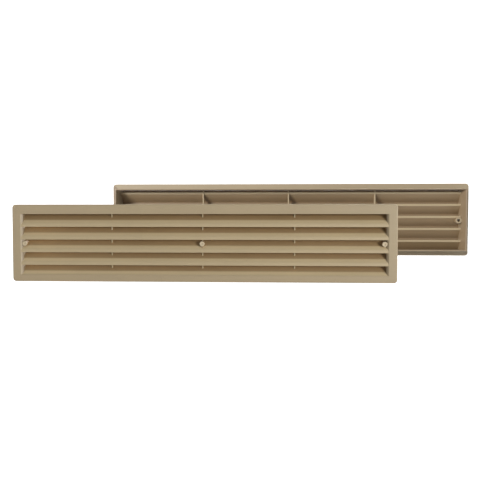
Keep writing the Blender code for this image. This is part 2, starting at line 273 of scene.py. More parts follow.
def cut_out(obj, parts):
    """Cuts closed (points, faces) parts out of a piece, and raises an error if they miss it."""
    tool = make_mesh("cutter", parts)
    cutter = bpy.data.objects.new("cutter", tool)
    bpy.context.scene.collection.objects.link(cutter)
    cut = obj.modifiers.new("cut", "BOOLEAN")
    cut.operation = "DIFFERENCE"
    cut.solver = "EXACT"
    cut.object = cutter
    depsgraph = bpy.context.evaluated_depsgraph_get()
    solid, made = obj.data, bpy.data.meshes.new_from_object(obj.evaluated_get(depsgraph))
    if len(made.polygons) <= len(solid.polygons):
        raise RuntimeError("nothing was cut out of " + obj.name)
    obj.modifiers.remove(cut)
    obj.data = made
    made.name = obj.name
    bpy.data.objects.remove(cutter)
    for mesh in (solid, tool):
        bpy.data.meshes.remove(mesh)


def add_piece(name, parts, finish, body, nodes=(), cut=()):
    """A finished piece, less the parts to cut out, which rides on its body and stands for the
    named nodes."""
    mesh = make_mesh(name, parts)
    mesh.materials.append(finish)
    obj = bpy.data.objects.new(name, mesh)
    bpy.context.scene.collection.objects.link(obj)
    if cut:
        cut_out(obj, cut)
    obj.modifiers.new("even_normals", "WEIGHTED_NORMAL").keep_sharp = True
    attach(obj, body)
    if nodes:
        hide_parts(*nodes)
    return obj


def grid_faces(rows, columns, wrap_rows=False, wrap_columns=False):
    """Four-sided faces of a grid of rows x columns points: point (i, j) is number
    i * columns + j, and face (i, j) joins it to its neighbours in the next row and column."""
    i = np.arange(rows if wrap_rows else rows - 1)[:, None]
    j = np.arange(columns if wrap_columns else columns - 1)[None, :]
    near, far = i * columns, (i + 1) % rows * columns
    step = (j + 1) % columns
    faces = np.stack([near + j, far + j, far + step, near + step], axis=-1)
    return faces.reshape(-1, 4).tolist()


def arc(centre, radius, start, end, steps):
    """Points on a circle from one angle to another, in degrees: centre + radius (cos, sin)."""
    angle = np.radians(np.linspace(start, end, steps + 1))
    return np.stack([centre[0] + radius * np.cos(angle), centre[1] + radius * np.sin(angle)], -1)


def rounded_outline(corners, radii, steps):
    """A closed outline with its corners rounded. At each corner the arc touches both sides at
    radius / tan(half the corner's angle) from it, and its points lie at equal angles."""
    corners = np.asarray(corners, float)
    found = []
    for index, radius in enumerate(radii):
        here = corners[index]
        before = corners[index - 1] - here
        after = corners[(index + 1) % len(corners)] - here
        before /= np.linalg.norm(before)
        after /= np.linalg.norm(after)
        half = math.acos(np.clip(before @ after, -1, 1)) / 2
        if radius <= 0 or half > math.radians(88):
            found.append(here[None])
            continue
        bisector = (before + after) / np.linalg.norm(before + after)
        centre = here + bisector * radius / math.sin(half)
        first = here + before * radius / math.tan(half) - centre
        last = here + after * radius / math.tan(half) - centre
        start = math.atan2(first[1], first[0])
        sweep = (math.atan2(last[1], last[0]) - start + math.pi) % (2 * math.pi) - math.pi
        angle = start + sweep * np.linspace(0, 1, steps + 1)
        found.append(centre + radius * np.stack([np.cos(angle), np.sin(angle)], -1))
    return np.concatenate(found)


def carried(outline, stations, order):
    """An outline carried straight along an axis: point (i, j) is station i on that axis and
    outline point j across it. order says which of x, y, z the station and the outline's two
    numbers are. The ends are closed."""
    rows, columns = len(stations), len(outline)
    flat = np.empty((rows, columns, 3))
    flat[..., order[0]] = np.asarray(stations)[:, None]
    flat[..., order[1]] = outline[None, :, 0]
    flat[..., order[2]] = outline[None, :, 1]
    ends = [list(range(columns)), list(range((rows - 1) * columns, rows * columns))]
    return flat, grid_faces(rows, columns, wrap_columns=True) + ends


def turned(profile, x, z, sides, closed):
    """A profile of (radius, y) turned about a line along Y through (x, z): point (i, j) is
    (x + r cos a, y, z + r sin a) with a = 2 pi i / sides. A closed profile makes a ring."""
    angle = 2 * math.pi * np.arange(sides)[:, None] / sides
    radius, y = profile[None, :, 0], profile[None, :, 1]
    points = np.stack(
        [x + radius * np.cos(angle), np.broadcast_to(y, (sides, len(profile))),
         z + radius * np.sin(angle)], -1
    )
    return points, grid_faces(sides, len(profile), wrap_rows=True, wrap_columns=closed)


def nested_frame(sections, steps):
    """A closed section carried round a rectangle with round corners. Each section row holds half
    the width, the top, the bottom, the corner radius, and y along the ends and along the top and
    bottom, so every row is a rectangle of its own. Corner k is centred at the rectangle's corner
    less the radius on both sides, and its points are centre + radius (cos a, sin a), with a over
    the k-th quarter turn. There y goes over from one value to the other by sin squared of a."""
    half_width, top, bottom, radius, end_y, long_y = (
        sections[:, column, None, None] for column in range(6)
    )
    quarter = np.arange(4)[None, :, None]
    angle = (quarter + np.linspace(0, 1, steps + 1)[None, None, :]) * math.pi / 2
    right = np.isin(quarter, (0, 3))
    upper = np.isin(quarter, (0, 1))
    centre_x = np.where(right, half_width - radius, radius - half_width)
    centre_z = np.where(upper, top - radius, bottom + radius)
    x = centre_x + radius * np.cos(angle)
    z = centre_z + radius * np.sin(angle)
    y = end_y + (long_y - end_y) * np.sin(angle) ** 2
    points = np.stack([x, y, z], -1)
    rows, columns = len(sections), 4 * (steps + 1)
    points = points.reshape(rows, columns, 3)
    return points, grid_faces(rows, columns, wrap_rows=True, wrap_columns=True)


def half_place(side):
    """Where a half stands: its middle on the door face, and +1 or -1 for the way it looks."""
    sizes = bpy.context.scene.grille_frame
    if side == "front":
        low, high, turn = FRONT_LOW, FRONT_HIGH, 1
        y = low.y + sizes.thickness
    else:
        low, high, turn = REAR_LOW, REAR_HIGH, -1
        y = high.y - sizes.thickness
    return (low.x + high.x) / 2, y, (low.z + high.z) / 2, turn


def placed(parts, side):
    """Parts moved from a half's own centre to its place, turned half round for the rear half."""
    x, y, z, turn = half_place(side)
    return [(points * (turn, turn, 1.0) + (x, y, z), faces) for points, faces in parts]


def window(sizes):
    """Half width, top and bottom of the louvre window."""
    half_height = sizes.height / 2
    return (
        sizes.width / 2 - sizes.side_border,
        half_height - sizes.top_border,
        sizes.bottom_border - half_height,
    )


def slot_measures(sizes, louvre):
    """Height of a slot and the pitch of the blades."""
    _, top, bottom = window(sizes)
    slot = (top - bottom - (louvre.slots - 1) * louvre.lip) / louvre.slots
    return slot, slot + louvre.lip


def frame_sections(sizes):
    """The section of flange and sleeve, as rows for nested_frame. Going round it: back edge of
    the flange, rounded face edge, face, window edge, chamfer or window wall, step to the sleeve,
    sleeve inside, rim, sleeve outside, fillet at the flange. The end walls run straight from the
    chamfer past the blades and then flare out to the rim. A bend at the window's edge is a
    quadratic curve: its start pulls by (1 - t) squared and its end by t squared."""
    fine = sizes.small_round
    face = -sizes.thickness
    seam = 1e-4
    least_corner, window_corner, inside_corner, flare_corner = 2e-4, 5e-4, 3e-4, 4e-4
    rim_inner_corner, rim_outer_corner, foot_corner = 8e-4, 14e-4, 15e-4
    half_width, half_height = sizes.width / 2, sizes.height / 2
    window_x, window_top, window_bottom = window(sizes)
    end_x = window_x - sizes.chamfer
    inner_z = half_height - sizes.overhang - sizes.wall
    rim_x = half_width - sizes.overhang - sizes.draft
    rim_z = half_height - sizes.overhang - sizes.draft
    rim_inner_x = rim_x - sizes.wall
    rows = []

    def even(points, corner):
        for inset, y in points:
            top = half_height - inset
            rows.append((half_width - inset, top, -top, max(corner - inset, least_corner), y, y))

    def row(x, top, bottom, radius, end_y, long_y=None):
        rows.append((x, top, bottom, radius, end_y, end_y if long_y is None else long_y))

    even(arc((fine, -fine), fine, 90, 180, 3), sizes.corner)
    even(arc((sizes.edge, face + sizes.edge), sizes.edge, 180, 270, 6), sizes.corner)
    bend = 0.0004
    slope = math.atan2(sizes.chamfer_depth, sizes.chamfer)
    for t in (0.0, 0.25, 0.5, 0.75, 1.0):
        lead, trail = (1 - t) ** 2 * bend, t ** 2 * bend
        row(
            window_x + lead - trail * math.cos(slope), window_top + lead, window_bottom - lead,
            window_corner, face + trail * math.sin(slope), face + trail,
        )
    for t in (0.0, 0.5, 1.0):
        lead, trail = (1 - t) ** 2 * bend, t ** 2 * bend
        row(
            end_x + lead * math.cos(slope), window_top, window_bottom, inside_corner,
            face + sizes.chamfer_depth - lead * math.sin(slope) + trail,
        )
    row(end_x, window_top, window_bottom, inside_corner, -seam, 0.0)
    row(end_x, inner_z, -inner_z, inside_corner, seam, 0.0)
    row(end_x, inner_z, -inner_z, inside_corner, face + sizes.straight - 2 * seam)
    row(end_x + seam / 2, inner_z, -inner_z, flare_corner, face + sizes.straight + 2 * seam)
    bend = 0.0007
    for turn in np.radians((0, 30, 60, 90)):
        out, up = bend * (1 - math.cos(turn)), bend * (1 - math.sin(turn))
        row(rim_inner_x + out, inner_z + out, -inner_z - out, rim_inner_corner, sizes.depth - up)
    for turn in np.radians((0, 30, 60, 90)):
        back, up = bend * (1 - math.sin(turn)), bend * (1 - math.cos(turn))
        row(rim_x - back, rim_z - back, back - rim_z, rim_outer_corner, sizes.depth - up)
    for turn in np.radians((0, 45, 90)):
        out = sizes.overhang - fine * (1 - math.cos(turn))
        y = fine * (1 - math.sin(turn))
        row(half_width - out, half_height - out, out - half_height, foot_corner, y)
    return np.array(rows)


def blade_slope(sizes, louvre):
    """Rise of a blade per depth, its thickness measured upright, and its rear edge's height."""
    slot, _ = slot_measures(sizes, louvre)
    reach = slot + louvre.blade_overlap
    rise = reach / (louvre.blade_depth - louvre.lip_recess)
    return rise, louvre.blade_thickness * math.hypot(1, rise), reach


def blade_outline(sizes, louvre, slot_bottom):
    """Across one blade, as (y, z): an upright lip, and a plate of even thickness rising from its
    top to just above the slot's top. What would pass the sleeve's lower wall stops in it."""
    rise, drop, reach = blade_slope(sizes, louvre)
    lip_y = louvre.lip_recess - sizes.thickness
    rear_y = louvre.blade_depth - sizes.thickness
    back_y = lip_y + louvre.lip_thickness
    floor = sizes.overhang + sizes.wall / 2 - sizes.height / 2
    fine = sizes.small_round
    below = [
        ((lip_y, slot_bottom - louvre.lip), louvre.lip_round),
        ((back_y, slot_bottom - louvre.lip), fine),
        ((back_y, slot_bottom + rise * louvre.lip_thickness - drop), 2 * fine),
    ]
    if slot_bottom - louvre.lip < floor:
        meeting = lip_y + (floor + drop - slot_bottom) / rise
        below = [((lip_y, floor), fine), ((meeting, floor), 2 * fine)]
    behind = [
        ((rear_y, slot_bottom + reach - drop), 1.5 * fine),
        ((rear_y, slot_bottom + reach), fine),
    ]
    corners, radii = zip(((lip_y, slot_bottom), louvre.lip_nose), *below, *behind)
    return rounded_outline(corners, radii, 8)


def blade_parts(sizes, louvre):
    """The blades of one half, top to bottom, with their ends inside the walls."""
    slot, pitch = slot_measures(sizes, louvre)
    _, top, _ = window(sizes)
    end = sizes.width / 2 - sizes.overhang - sizes.wall / 2
    stations = np.linspace(-end, end, 9)
    parts = []
    for index in range(louvre.slots):
        outline = blade_outline(sizes, louvre, top - slot - index * pitch)
        parts.append(carried(outline, stations, (0, 1, 2)))
    return parts


def rib_parts(sizes, louvre):
    """Upright ribs that divide the window into equal bays. A rib in the middle ends inside the
    wall of the middle post, above and below its bore."""
    half_width, _, _ = window(sizes)
    front_y = louvre.rib_setback - sizes.thickness
    rear_y = louvre.blade_depth + louvre.rib_proud - sizes.thickness
    end = sizes.height / 2 - sizes.overhang - sizes.wall / 2
    half = louvre.rib_thickness / 2
    bay = 2 * half_width / (louvre.ribs + 1)
    parts = []
    for index in range(louvre.ribs):
        x = bay * (index + 1) - half_width
        corners = [(x - half, front_y), (x + half, front_y), (x + half, rear_y), (x - half, rear_y)]
        outline = rounded_outline(corners, [0.8 * sizes.small_round] * 4, 3)
        if 2 * index + 1 == louvre.ribs:
            clear = (louvre.bore + louvre.post_face) / 4
            parts.append(carried(outline, (-end, -louvre.post_drop - clear), (2, 0, 1)))
            parts.append(carried(outline, (clear - louvre.post_drop, end), (2, 0, 1)))
        else:
            parts.append(carried(outline, (-end, 0.0, end), (2, 0, 1)))
    return parts


def post_span(sizes, louvre):
    """y of a post's outer face and of its inner end."""
    end = louvre.blade_depth + louvre.rib_proud + louvre.post_proud - sizes.thickness
    return louvre.lip_recess - sizes.thickness, end


def head_radius():
    """Half the width of a screw's head."""
    return (SCREW_HIGH.x - SCREW_LOW.x) / 2


def front_post_profile(sizes, louvre):
    """(radius, y) of a front post: dimple in the face, rounded face edge, tapered side, and the
    blind pilot hole from the inner end."""
    face, end = post_span(sizes, louvre)
    fine = sizes.small_round
    bore = louvre.bore / 2
    floor = face + PILOT_FLOOR
    return np.concatenate([
        np.array(DIMPLE) + (0.0, face),
        arc((louvre.post_face / 2 - POST_EDGE, face + POST_EDGE), POST_EDGE, -90, -5, 4),
        arc((louvre.post_root / 2 - fine, end - fine), fine, 0, 90, 3),
        arc((bore + fine, end - fine), fine, 90, 180, 3),
        [(bore, floor + PILOT_POINT), (0.6 * bore, floor + PILOT_POINT / 6), (0.0, floor)],
    ])


def rear_post_profile(sizes, louvre):
    """(radius, y) of a rear post, closed: a clearance hole right through, countersunk from the
    face."""
    face, end = post_span(sizes, louvre)
    fine = sizes.small_round
    bore, root = louvre.bore / 2, louvre.post_root / 2
    head = head_radius() + HEAD_CLEARANCE
    seat = face + SEAT
    return np.concatenate([
        arc((root - fine, face + fine), fine, -90, 0, 3),
        arc((root - fine, end - fine), fine, 0, 90, 3),
        arc((bore + fine, end - fine), fine, 90, 180, 3),
        [(bore, seat + head - bore), (head, seat),
         (head + HEAD_CLEARANCE, face + HEAD_CLEARANCE)],
    ])


def gusset_part(sizes, louvre):
    """The web under the middle post, up to the wall round its bore. Across it, as (x, y), its
    front corners are round. Going down, it stops at the middle of the blade below:
    y = min(outline, back of the lip + (z - z0) / rise), with z0 where the middle of the blade
    meets the lip."""
    slot, pitch = slot_measures(sizes, louvre)
    _, top, _ = window(sizes)
    rise, drop, _ = blade_slope(sizes, louvre)
    lip_back = louvre.lip_recess + louvre.lip_thickness - sizes.thickness
    slot_bottom = top - slot - louvre.slots // 2 * pitch
    lowest = slot_bottom + rise * louvre.lip_thickness - drop / 2
    deepest = lip_back + (-louvre.post_drop - lowest) / rise
    half = louvre.web / 2
    corners = [(-half, lip_back), (half, lip_back), (half, deepest), (-half, deepest)]
    outline = rounded_outline(corners, [0.8 * half, 0.8 * half, 0, 0], 4)
    highest = -louvre.post_drop - (louvre.bore + louvre.post_face) / 4
    stations = np.linspace(lowest, highest, 7)
    points, faces = carried(outline, stations, (2, 0, 1))
    limit = lip_back + (stations[:, None] - lowest) / rise
    points[..., 1] = np.minimum(points[..., 1], limit)
    return points, faces


def post_parts(sizes, louvre, side):
    """Three posts, the outer two half inside the end walls, and the web under the middle one."""
    profile = front_post_profile if side == "front" else rear_post_profile
    outline, is_ring = profile(sizes, louvre), side != "front"
    reach = sizes.width / 2 - louvre.post_inset
    posts = [
        turned(outline, x, -louvre.post_drop, POST_SIDES, is_ring) for x in (-reach, 0.0, reach)
    ]
    return [gusset_part(sizes, louvre), *posts]


def bore_parts(sizes, louvre, side):
    """The air in the posts' bores, a little wider than the bores: the pilot hole of a front
    post, or the countersunk hole right through a rear one. It ends past the posts."""
    past, spare = 0.001, 0.00005
    face, end = post_span(sizes, louvre)
    end += sizes.thickness + past
    wide = louvre.bore / 2 + spare
    if side == "front":
        floor = face + PILOT_FLOOR
        sunk = [(0.0, floor), (wide, floor + PILOT_POINT)]
    else:
        head = head_radius() + 2 * HEAD_CLEARANCE
        seat = face + SEAT
        sunk = [(0.0, face - past), (head, face - past), (head, seat),
                (wide, seat + head - wide)]
    profile = np.array([*sunk, (wide, end), (0.0, end)])
    reach = sizes.width / 2 - louvre.post_inset
    return [
        turned(profile, x, -louvre.post_drop, POST_SIDES, closed=False)
        for x in (-reach, 0.0, reach)
    ]


def screw_part(screw, low, high):
    """One screw along Y, its head at high.y and its point at low.y, as rows of 48 points from
    the middle of the head to the point.

    Top of the head: columns are bent so that they follow the edges of the cross recess, whose
    floor is at the recess depth less a slope towards the arms' ends. Shank: the rows climb one
    pitch in a turn, so that the thread's crest follows a row, and the radius is
    root + (crest - root) max(0, 1 - |phase| / flank), faded out at the neck and the point."""
    columns = 48
    quarter_columns = columns // 4
    edge_round, neck_blend, flank = 0.0001, 0.0002, 0.32
    head = (high.x - low.x) / 2
    crest, root = screw.shank / 2, screw.root / 2
    neck_radius = 0.93 * crest
    total = high.y - low.y
    arm, half_slot = screw.recess / 2, screw.recess_slot / 2
    turn = np.arange(columns) / columns
    angle = 2 * math.pi * turn

    quarter = np.arange(columns) // quarter_columns
    inside = np.arange(columns) % quarter_columns
    shares = np.tile([0, 0.5, 0.92, 1, 1, 1, 1, 1, 1, 1, 0.92, 0.5], 4)
    rows = []

    def head_row(radius, depth_arm, depth_field):
        edge = min(math.asin(min(half_slot / max(radius, 1e-9), 0.7)), math.radians(44))
        arm_side = edge * shares
        middle = edge + (math.pi / 2 - 2 * edge) * (inside - 3) / 6
        bent = np.where(inside <= 3, arm_side, np.where(inside < 9, middle, math.pi / 2 - arm_side))
        is_arm = (inside <= 2) | (inside >= 10)
        row_angle = quarter * math.pi / 2 + bent
        depth = np.where(is_arm, depth_arm, depth_field)
        rows.append(
            np.stack([radius * np.cos(row_angle), -depth, radius * np.sin(row_angle)], -1)
        )

    corner = half_slot * math.sqrt(2)
    head_row(0.0, screw.recess_depth, screw.recess_depth)
    head_row(0.8 * corner, screw.recess_depth, screw.recess_depth)
    head_row(corner, 0.95 * screw.recess_depth, 0.9 * screw.recess_depth)
    head_row(corner + edge_round, 0.9 * screw.recess_depth, 0.0)
    head_row(arm * 0.97, 0.55 * screw.recess_depth, 0.0)
    head_row(arm + edge_round / 2, 0.0, 0.0)
    for radius, y in arc((head - edge_round, -edge_round), edge_round, 90, 0, 2):
        head_row(radius, -y, -y)

    cone = head - crest
    neck = screw.head_rim + cone
    for radius, y in ((head, screw.head_rim), (crest, neck), (neck_radius, neck + neck_blend)):
        rows.append(
            np.stack([radius * np.cos(angle), np.full(columns, -y), radius * np.sin(angle)], -1)
        )

    begin = neck + screw.plain
    per_turn = 8
    count = int((total - begin) / screw.pitch * per_turn)
    step = np.arange(-per_turn, count + 1)[:, None]
    down = begin + screw.pitch * (step / per_turn + turn[None, :])
    down = np.clip(down, begin, total)
    phase = np.abs((step / per_turn + 0.5) % 1.0 - 0.5)
    fade = np.clip((down - begin) / screw.pitch, 0, 1)
    taper = np.clip((total - down) / screw.point, 0, 1) ** 0.8
    bulge = np.clip(1 - phase / flank, 0, 1) * fade
    core = neck_radius + (root - neck_radius) * np.clip(fade * 2, 0, 1)
    radius = (core + (crest - core) * bulge) * taper
    thread = np.stack([radius * np.cos(angle), -down, radius * np.sin(angle)], -1)
    rows.extend(thread)
    rows.append(np.tile([0.0, -total, 0.0], (columns, 1)))

    points = np.array(rows)
    centre = np.array([(low.x + high.x) / 2, high.y, (low.z + high.z) / 2])
    return points + centre, grid_faces(len(rows), columns, wrap_columns=True)


def new_material(name):
    """A new Principled material, its node tree and its shader."""
    made = bpy.data.materials.new(name)
    made.use_nodes = True
    return made, made.node_tree, made.node_tree.nodes["Principled BSDF"]


def noise(tree, vector, scale, detail, roughness=0.5):
    node = tree.nodes.new("ShaderNodeTexNoise")
    node.inputs["Scale"].default_value = scale
    node.inputs["Detail"].default_value = detail
    node.inputs["Roughness"].default_value = roughness
    tree.links.new(vector, node.inputs["Vector"])
    return node.outputs["Fac"]


def remapped(tree, value, low, high, new_low, new_high):
    node = tree.nodes.new("ShaderNodeMapRange")
    for key, number in zip(
        ("From Min", "From Max", "To Min", "To Max"), (low, high, new_low, new_high)
    ):
        node.inputs[key].default_value = number
    tree.links.new(value, node.inputs["Value"])
    return node.outputs["Result"]


def mixed_colour(tree, factor, first, second, blend="MIX"):
    node = tree.nodes.new("ShaderNodeMix")
    node.data_type = "RGBA"
    node.blend_type = blend
    tree.links.new(factor, node.inputs[0])
    for socket, value in ((node.inputs[6], first), (node.inputs[7], second)):
        if isinstance(value, bpy.types.NodeSocket):
            tree.links.new(value, socket)
        else:
            socket.default_value = (*value, 1.0)
    return node.outputs[2]


def bumped(tree, height, strength, distance, before=None):
    node = tree.nodes.new("ShaderNodeBump")
    node.inputs["Strength"].default_value = strength
    node.inputs["Distance"].default_value = distance
    tree.links.new(height, node.inputs["Height"])
    if before is not None:
        tree.links.new(before, node.inputs["Normal"])
    return node.outputs["Normal"]


def object_coordinates(tree, stretch):
    """Object coordinates, scaled by stretch along each axis."""
    coordinates = tree.nodes.new("ShaderNodeTexCoord")
    mapping = tree.nodes.new("ShaderNodeMapping")
    mapping.inputs["Scale"].default_value = stretch
    tree.links.new(coordinates.outputs["Object"], mapping.inputs["Vector"])
    return mapping.outputs["Vector"]


def scaled(value, factor):
    return tuple(min(1.0, channel * factor) for channel in value)


def ramp_tone(tree, value, stops, reach):
    """A colour by a value from 0 to 1, as (place, colour) stops with places from 0 to reach."""
    ramp = tree.nodes.new("ShaderNodeValToRGB")
    elements = ramp.color_ramp.elements
    while len(elements) < len(stops):
        elements.new(1.0)
    for element, (place, tone) in zip(elements, stops):
        element.position = place / reach
        element.color = (*tone, 1.0)
    tree.links.new(value, ramp.inputs["Fac"])
    return ramp.outputs["Color"]


def depth_tone(tree, coordinates, side, stops):
    """A colour by depth behind the half's face, as (depth in mm, colour) stops over 16 mm."""
    reach = 16
    face, inwards = (FRONT_LOW.y, 1) if side == "front" else (REAR_HIGH.y, -1)
    split = tree.nodes.new("ShaderNodeSeparateXYZ")
    tree.links.new(coordinates, split.inputs[0])
    depth = remapped(tree, split.outputs["Y"], face, face + reach / 1000 * inwards, 0, 1)
    return ramp_tone(tree, depth, stops, reach)


def painted_shading_tone(tree, painted_light, plain, painted_shade):
    """Painted light, plain tone and painted shade, for 0, 0.5 and 1 in the mesh's attribute."""
    painted_shading = tree.nodes.new("ShaderNodeAttribute")
    painted_shading.attribute_name = "painted_shading"
    return ramp_tone(tree, painted_shading.outputs["Fac"], [(0, painted_light), (0.5, plain), (1, painted_shade)], 1)


def moulded_plastic(side, part):
    """Satin moulded plastic, made once for each part of a half: its tone times a cloudy grey,
    faint flow lines along the grille and fine specks, with a spark-eroded grain and slow ripples
    where the moulding has sunk a little. Its tone is painted light and shade: edges, lips and rib
    fronts lighter as painted highlights, and the recesses darker as painted shade."""
    name = side + "_plastic_" + part
    if name in bpy.data.materials:
        return bpy.data.materials[name]
    finish = bpy.context.scene.grille_finish
    face = tuple(finish.front_face if side == "front" else finish.rear_face_shaded)
    # The colours below, besides the face and the post faces, are painted highlights and painted
    # shade.
    under_shade, edge = tuple(finish.rear_under_shade), tuple(finish.rear_highlight)
    blade_shade, deep_shade, pin = tuple(finish.front_blade_shade), tuple(finish.front_deep_shade), tuple(finish.pin)
    far, edge_highlight = tuple(finish.rear_deep_shade), tuple(finish.front_edge_highlight)
    lip = scaled(edge_highlight, 0.83)
    # Tones by depth: lips, blade edges and rib fronts lighter as painted highlights; blades, slot
    # bottoms, undersides and post sides darker as painted shade.
    stops = {
        "front_blades": [
            (0, lip), (1, lip), (2, edge_highlight), (3.7, edge_highlight), (4.6, blade_shade), (10, deep_shade)
        ],
        "front_ribs": [(0, lip), (7.6, lip), (8.4, deep_shade)],
        "front_posts": [(0, pin), (0.5, pin), (0.9, deep_shade), (10, deep_shade)],
        "rear_blades": [(0, face), (1.6, far), (4, far), (8, under_shade), (10.6, under_shade), (11.2, edge)],
        "rear_ribs": [(0, under_shade), (11.2, under_shade), (11.9, edge)],
        "rear_posts": [(0, face), (0.6, under_shade), (12.6, under_shade), (13.5, face)],
    }
    made, tree, shader = new_material(name)
    plain = object_coordinates(tree, (1, 1, 1))
    along = object_coordinates(tree, (4, 70, 70))
    cloud = noise(tree, plain, 14, 3, 0.55)
    flow = noise(tree, along, 2, 3, 0.5)
    grain = noise(tree, plain, 1500, 3, 0.6)
    speck = noise(tree, plain, 420, 2, 0.5)
    ripple = noise(tree, plain, 55, 1, 0.4)
    # The frame: window and sleeve insides darker as painted shade; on the rear half one end's rim
    # painted shade, its end wall painted light.
    if part == "frame":
        inside = tuple(finish.front_wall_shade if side == "front" else finish.rear_wall_shade)
        tone = painted_shading_tone(tree, edge, face, inside)
    else:
        tone = depth_tone(tree, plain, side, stops[side + "_" + part])
    mottle = finish.mottle
    for pattern, low, high, most, level in (
        (cloud, 0.3, 0.7, 1.0, 1 + mottle),
        (flow, 0.52, 0.75, 0.35, 1 + 1.4 * mottle),
        (speck, 0.56, 0.78, 0.35, 1 - 2 * mottle),
    ):
        strength = remapped(tree, pattern, low, high, 0, most)
        tone = mixed_colour(tree, strength, tone, (level, level, level), "MULTIPLY")
    tree.links.new(tone, shader.inputs["Base Color"])
    rough = remapped(tree, cloud, 0.3, 0.7, finish.gloss - 0.05, finish.gloss + 0.06)
    tree.links.new(rough, shader.inputs["Roughness"])
    waves = bumped(tree, ripple, 0.25, 0.00025)
    tree.links.new(bumped(tree, grain, 0.3, 0.00004, waves), shader.inputs["Normal"])
    shader.inputs["Specular IOR Level"].default_value = 0.8
    return made


def mark_painted_shading(piece, side):
    """Writes the point attribute for painted light and shade: 1, painted shade, in the window and
    inside the sleeve, which is nearer to the half's middle than the middle of the sleeve's wall and
    behind the rounded edge of the face, and 0.5 elsewhere. At one end of the rear half, as far as
    that end is nearer than the top and bottom, the rim and flange get painted shade and the end
    wall inside gets painted light, 0."""
    behind_edge, rim_depth, slack = 0.0005, 0.0005, 0.0001
    sizes = bpy.context.scene.grille_frame
    x, y, z, turn = half_place(side)
    mesh = piece.data
    points = np.empty(3 * len(mesh.vertices))
    mesh.vertices.foreach_get("co", points)
    across, depth, up = ((points.reshape(-1, 3) - (x, y, z)) * (turn, turn, 1)).T
    inset = sizes.overhang + sizes.wall / 2
    within = (abs(across) < sizes.width / 2 - inset) & (abs(up) < sizes.height / 2 - inset)
    painted_shading = np.where(within & (depth > behind_edge - sizes.thickness), 1.0, 0.5)
    # Painted shade on this end's rim and flange, and painted light on its end wall inside.
    if side == "rear":
        nearer = sizes.width / 2 - across < sizes.height / 2 - abs(up)
        at_rim = (depth > sizes.depth - rim_depth) | (across > sizes.width / 2 - inset)
        painted_shading = np.where(nearer & (depth > -slack), at_rim, painted_shading)
    layer = mesh.attributes.new("painted_shading", "FLOAT", "POINT")
    layer.data.foreach_set("value", painted_shading.astype(np.float32))


def zinc_plate(name, base):
    """Bright zinc plate: cloudy bright patches, dull grey blooms and fine turning marks."""
    made, tree, shader = new_material(name)
    plain = object_coordinates(tree, (1, 1, 1))
    cloud = noise(tree, plain, 300, 3, 0.6)
    bloom = noise(tree, plain, 900, 2, 0.5)
    marks = noise(tree, object_coordinates(tree, (400, 9000, 400)), 1, 2, 0.5)
    tone = mixed_colour(
        tree, remapped(tree, cloud, 0.35, 0.65, 0, 1), scaled(base, 0.86), scaled(base, 1.08)
    )
    dull = mixed_colour(tree, remapped(tree, bloom, 0.58, 0.75, 0, 0.5), tone, (0.4, 0.4, 0.37))
    tree.links.new(dull, shader.inputs["Base Color"])
    tree.links.new(remapped(tree, cloud, 0.3, 0.7, 0.24, 0.42), shader.inputs["Roughness"])
    tree.links.new(bumped(tree, marks, 0.2, 0.00003), shader.inputs["Normal"])
    shader.inputs["Metallic"].default_value = 1.0
    return made


def add_moulding(side, part, parts, nodes=(), cut=()):
    """One piece of a half, worked out round the half's own centre."""
    return add_piece(
        side + "_" + part, placed(parts, side), moulded_plastic(side, part), side + "_half",
        nodes, placed(cut, side),
    )


class GRILLE_OT_frames(bpy.types.Operator):
    """Builds the flange and sleeve of both halves"""

    bl_idname = "grille.frames"
    bl_label = "Flanges and Sleeves"

    def execute(self, context):
        parts = [nested_frame(frame_sections(context.scene.grille_frame), 8)]
        for side in HALVES:
            mark_painted_shading(add_moulding(side, "frame", parts, [side + "_grille"]), side)
        return {"FINISHED"}


class GRILLE_OT_louvres(bpy.types.Operator):
    """Builds the sloping blades of both halves"""

    bl_idname = "grille.louvres"
    bl_label = "Louvre Blades"

    def execute(self, context):
        sizes = context.scene.grille_frame, context.scene.grille_louvre
        for side in HALVES:
            add_moulding(side, "blades", blade_parts(*sizes), cut=bore_parts(*sizes, side))
        return {"FINISHED"}


class GRILLE_OT_ribs(bpy.types.Operator):
    """Builds the upright ribs that tie the blades together"""

    bl_idname = "grille.ribs"
    bl_label = "Ribs"

    def execute(self, context):
        parts = rib_parts(context.scene.grille_frame, context.scene.grille_louvre)
        for side in HALVES:
            add_moulding(side, "ribs", parts)
        return {"FINISHED"}


class GRILLE_OT_posts(bpy.types.Operator):
    """Builds the screw posts and their webs"""

    bl_idname = "grille.posts"
    bl_label = "Screw Posts"

    def execute(self, context):
        sizes = context.scene.grille_frame, context.scene.grille_louvre
        for side in HALVES:
            add_moulding(side, "posts", post_parts(*sizes, side))
        return {"FINISHED"}


class GRILLE_OT_screws(bpy.types.Operator):
    """Builds the three screws, with their threads and cross recesses"""

    bl_idname = "grille.screws"
    bl_label = "Screws"

    def execute(self, context):
        zinc = zinc_plate("bright_zinc_plate", tuple(context.scene.grille_finish.zinc))
        for place in SCREWS:
            node = "screw_" + place
            low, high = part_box(node)
            part = screw_part(context.scene.grille_screw, low, high)
            add_piece(place + "_screw", [part], zinc, place + "_screw", [node])
        return {"FINISHED"}


def seen_directly(tree):
    """1 for what the camera, a mirror or glass sees, and 0 for what only lights the object."""
    path = tree.nodes.new("ShaderNodeLightPath")
    found = path.outputs["Is Camera Ray"]
    for name in ("Is Glossy Ray", "Is Transmission Ray"):
        either = tree.nodes.new("ShaderNodeMath")
        either.operation = "MAXIMUM"
        tree.links.new(found, either.inputs[0])
        tree.links.new(path.outputs[name], either.inputs[1])
        found = either.outputs[0]
    return found


